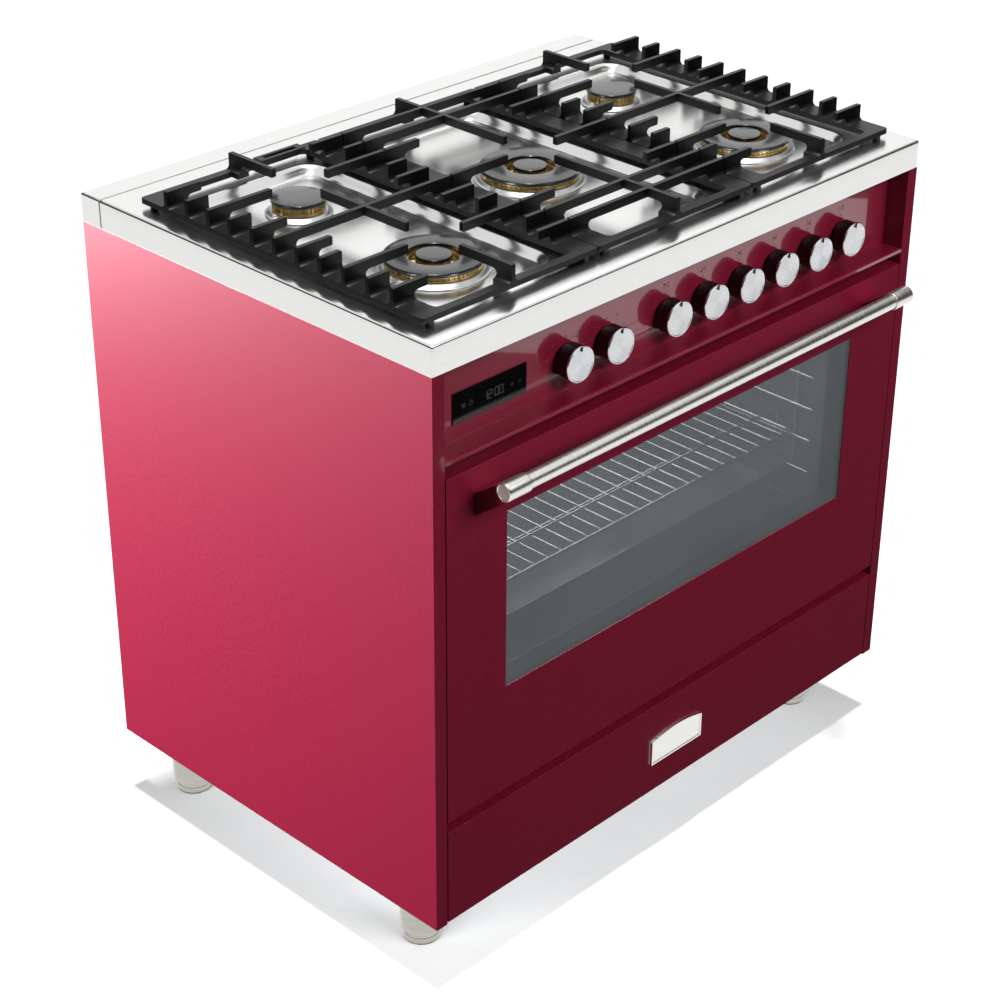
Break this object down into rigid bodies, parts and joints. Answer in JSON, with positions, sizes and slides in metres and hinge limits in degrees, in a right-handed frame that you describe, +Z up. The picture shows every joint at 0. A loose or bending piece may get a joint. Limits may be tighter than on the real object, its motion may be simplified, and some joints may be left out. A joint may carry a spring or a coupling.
{
  "type": "freestanding range cooker",
  "caption": "Freestanding range cooker with a gas hob under cast iron pan supports, an electric oven behind a drop-down glazed door, a storage drawer and levelling legs.",
  "frame": {"origin": "middle of the footprint, handle included, on the floor", "axes": "+X to the right seen from the front, +Y from the front to the rear, +Z up"},
  "size_m": [0.9, 0.6783, 0.9344],
  "materials": {
    "red_enamel": "clear gloss burgundy-red coat on pressed steel",
    "stainless": "fine brushed stainless steel sheet",
    "cast_iron": "matt black enamelled cast iron",
    "brass": "machined brass",
    "cast_aluminium": "die-cast aluminium, satin",
    "soft_aluminium": "drawn aluminium tube",
    "ceramic": "glazed white ceramic",
    "black_enamel": "black enamel on steel",
    "oven_enamel": "dark grey speckled vitreous enamel",
    "dark_glass": "black printed glass",
    "door_glass": "grey tinted tempered glass",
    "lamp_glass": "clear heat-proof glass",
    "knob_body": "black moulded grip with a spun aluminium face",
    "black_plastic": "moulded black thermoset",
    "polished_steel": "polished stainless tube",
    "satin_nickel": "satin nickel-plated steel",
    "hinge_steel": "bright pressed steel",
    "zinc_sheet": "zinc-coated steel",
    "chrome_wire": "bright chromed wire",
    "element_sheath": "heat-darkened steel sheath",
    "mineral_wool": "yellow-grey mineral wool",
    "seal": "dark woven and silicone door seal"
  },
  "bodies": {
    "body": {"side_panel_right": "red_enamel", "side_panel_left": "red_enamel", "base_pan": "zinc_sheet", "back_panel": "zinc_sheet", "cooktop": "stainless", "rear_trim": "stainless", "burner_bases": "cast_aluminium", "igniter_pins": "ceramic", "small_burner_spreaders": "brass", "dual_burner_spreaders": "brass", "small_burner_caps": "black_enamel", "dual_burner_caps": "black_enamel", "control_panel": "red_enamel", "oven_clock": "dark_glass", "gas_taps": "brass", "oven_switches": "black_plastic", "gas_manifold": "zinc_sheet", "burner_pipes": "soft_aluminium", "hinge_receivers": "hinge_steel", "oven_cavity": "oven_enamel", "insulation_blanket": "mineral_wool", "rack_guides": "chrome_wire", "fan_cover": "oven_enamel", "fan_motor": "zinc_sheet", "heating_elements": "element_sheath", "oven_lamp": "lamp_glass", "door_gasket": "seal", "drawer_slides": "zinc_sheet", "leg_tubes": "satin_nickel"},
    "door": {"door_panel": "red_enamel", "door_glass": "door_glass", "door_liner": "black_enamel", "door_inner_glass": "door_glass", "door_handle": "polished_steel", "handle_arms": "red_enamel", "hinge_arms": "hinge_steel"},
    "drawer": {"drawer_front": "red_enamel", "drawer_box": "zinc_sheet", "nameplate": "stainless"},
    "rack": {"oven_rack": "chrome_wire"},
    "tray": {"drip_tray": "oven_enamel"},
    "fan": {"convection_fan": "hinge_steel"},
    "grate_left": {"grate_left": "cast_iron"},
    "grate_centre": {"grate_centre": "cast_iron"},
    "grate_right": {"grate_right": "cast_iron"},
    "feet": {"levelling_feet": "satin_nickel"},
    "knob_oven_mode": {"knob_oven_mode": "knob_body"},
    "knob_oven_heat": {"knob_oven_heat": "knob_body"},
    "spindle_1": {"tap_spindle_1": "brass"},
    "knob_burner_1": {"knob_burner_1": "knob_body"},
    "spindle_2": {"tap_spindle_2": "brass"},
    "knob_burner_2": {"knob_burner_2": "knob_body"},
    "spindle_3": {"tap_spindle_3": "brass"},
    "knob_burner_3": {"knob_burner_3": "knob_body"},
    "spindle_4": {"tap_spindle_4": "brass"},
    "knob_burner_4": {"knob_burner_4": "knob_body"},
    "spindle_5": {"tap_spindle_5": "brass"},
    "knob_burner_5": {"knob_burner_5": "knob_body"},
    "spindle_6": {"tap_spindle_6": "brass"},
    "knob_burner_6": {"knob_burner_6": "knob_body"}
  },
  "joints": [
    {"name": "door_hinge", "type": "hinge", "parent": "body", "child": "door", "pos_m": [0, -0.26365, 0.2605], "axis": [1, 0, 0], "range_deg": [0, 90]},
    {"name": "drawer_slide", "type": "slide", "parent": "body", "child": "drawer", "axis": [0, -1, 0], "range_m": [0, 0.35]},
    {"name": "rack_slide", "type": "slide", "parent": "body", "child": "rack", "axis": [0, -1, 0], "range_m": [0, 0.3]},
    {"name": "tray_slide", "type": "slide", "parent": "body", "child": "tray", "axis": [0, -1, 0], "range_m": [0, 0.18]},
    {"name": "fan_spin", "type": "hinge", "parent": "body", "child": "fan", "pos_m": [0, 0.19235, 0.4755], "axis": [0, 1, 0], "continuous": true},
    {"name": "grate_left_lift", "type": "slide", "parent": "body", "child": "grate_left", "axis": [0, 0, 1], "range_m": [0, 0.12]},
    {"name": "grate_centre_lift", "type": "slide", "parent": "body", "child": "grate_centre", "axis": [0, 0, 1], "range_m": [0, 0.12]},
    {"name": "grate_right_lift", "type": "slide", "parent": "body", "child": "grate_right", "axis": [0, 0, 1], "range_m": [0, 0.12]},
    {"name": "feet_level", "type": "slide", "parent": "body", "child": "feet", "axis": [0, 0, -1], "range_m": [0, 0.02]},
    {"name": "knob_oven_mode_turn", "type": "hinge", "parent": "body", "child": "knob_oven_mode", "pos_m": [-0.203, -0.27615, 0.792], "axis": [0, -1, 0], "continuous": true},
    {"name": "knob_oven_heat_turn", "type": "hinge", "parent": "body", "child": "knob_oven_heat", "pos_m": [-0.132, -0.27615, 0.792], "axis": [0, -1, 0], "range_deg": [-290, 0]},
    {"name": "burner_1_push", "type": "slide", "parent": "body", "child": "spindle_1", "axis": [0, 1, 0], "range_m": [0, 0.003], "stiffness_N_per_m": 800, "springref_m": -0.004},
    {"name": "burner_1_turn", "type": "hinge", "parent": "spindle_1", "child": "knob_burner_1", "pos_m": [-0.0243, -0.27615, 0.792], "axis": [0, -1, 0], "range_deg": [0, 210]},
    {"name": "burner_2_push", "type": "slide", "parent": "body", "child": "spindle_2", "axis": [0, 1, 0], "range_m": [0, 0.003], "stiffness_N_per_m": 800, "springref_m": -0.004},
    {"name": "burner_2_turn", "type": "hinge", "parent": "spindle_2", "child": "knob_burner_2", "pos_m": [0.0461, -0.27615, 0.792], "axis": [0, -1, 0], "range_deg": [0, 210]},
    {"name": "burner_3_push", "type": "slide", "parent": "body", "child": "spindle_3", "axis": [0, 1, 0], "range_m": [0, 0.003], "stiffness_N_per_m": 800, "springref_m": -0.004},
    {"name": "burner_3_turn", "type": "hinge", "parent": "spindle_3", "child": "knob_burner_3", "pos_m": [0.1165, -0.27615, 0.792], "axis": [0, -1, 0], "range_deg": [0, 210]},
    {"name": "burner_4_push", "type": "slide", "parent": "body", "child": "spindle_4", "axis": [0, 1, 0], "range_m": [0, 0.003], "stiffness_N_per_m": 800, "springref_m": -0.004},
    {"name": "burner_4_turn", "type": "hinge", "parent": "spindle_4", "child": "knob_burner_4", "pos_m": [0.1869, -0.27615, 0.792], "axis": [0, -1, 0], "range_deg": [0, 210]},
    {"name": "burner_5_push", "type": "slide", "parent": "body", "child": "spindle_5", "axis": [0, 1, 0], "range_m": [0, 0.003], "stiffness_N_per_m": 800, "springref_m": -0.004},
    {"name": "burner_5_turn", "type": "hinge", "parent": "spindle_5", "child": "knob_burner_5", "pos_m": [0.2573, -0.27615, 0.792], "axis": [0, -1, 0], "range_deg": [0, 210]},
    {"name": "burner_6_push", "type": "slide", "parent": "body", "child": "spindle_6", "axis": [0, 1, 0], "range_m": [0, 0.003], "stiffness_N_per_m": 800, "springref_m": -0.004},
    {"name": "burner_6_turn", "type": "hinge", "parent": "spindle_6", "child": "knob_burner_6", "pos_m": [0.3277, -0.27615, 0.792], "axis": [0, -1, 0], "range_deg": [0, 210]}
  ],
  "couplings": [
    {"joint": "rack_slide", "follows": "door_hinge", "m_per_rad": 0.19},
    {"joint": "tray_slide", "follows": "door_hinge", "m_per_rad": 0.11}
  ]
}
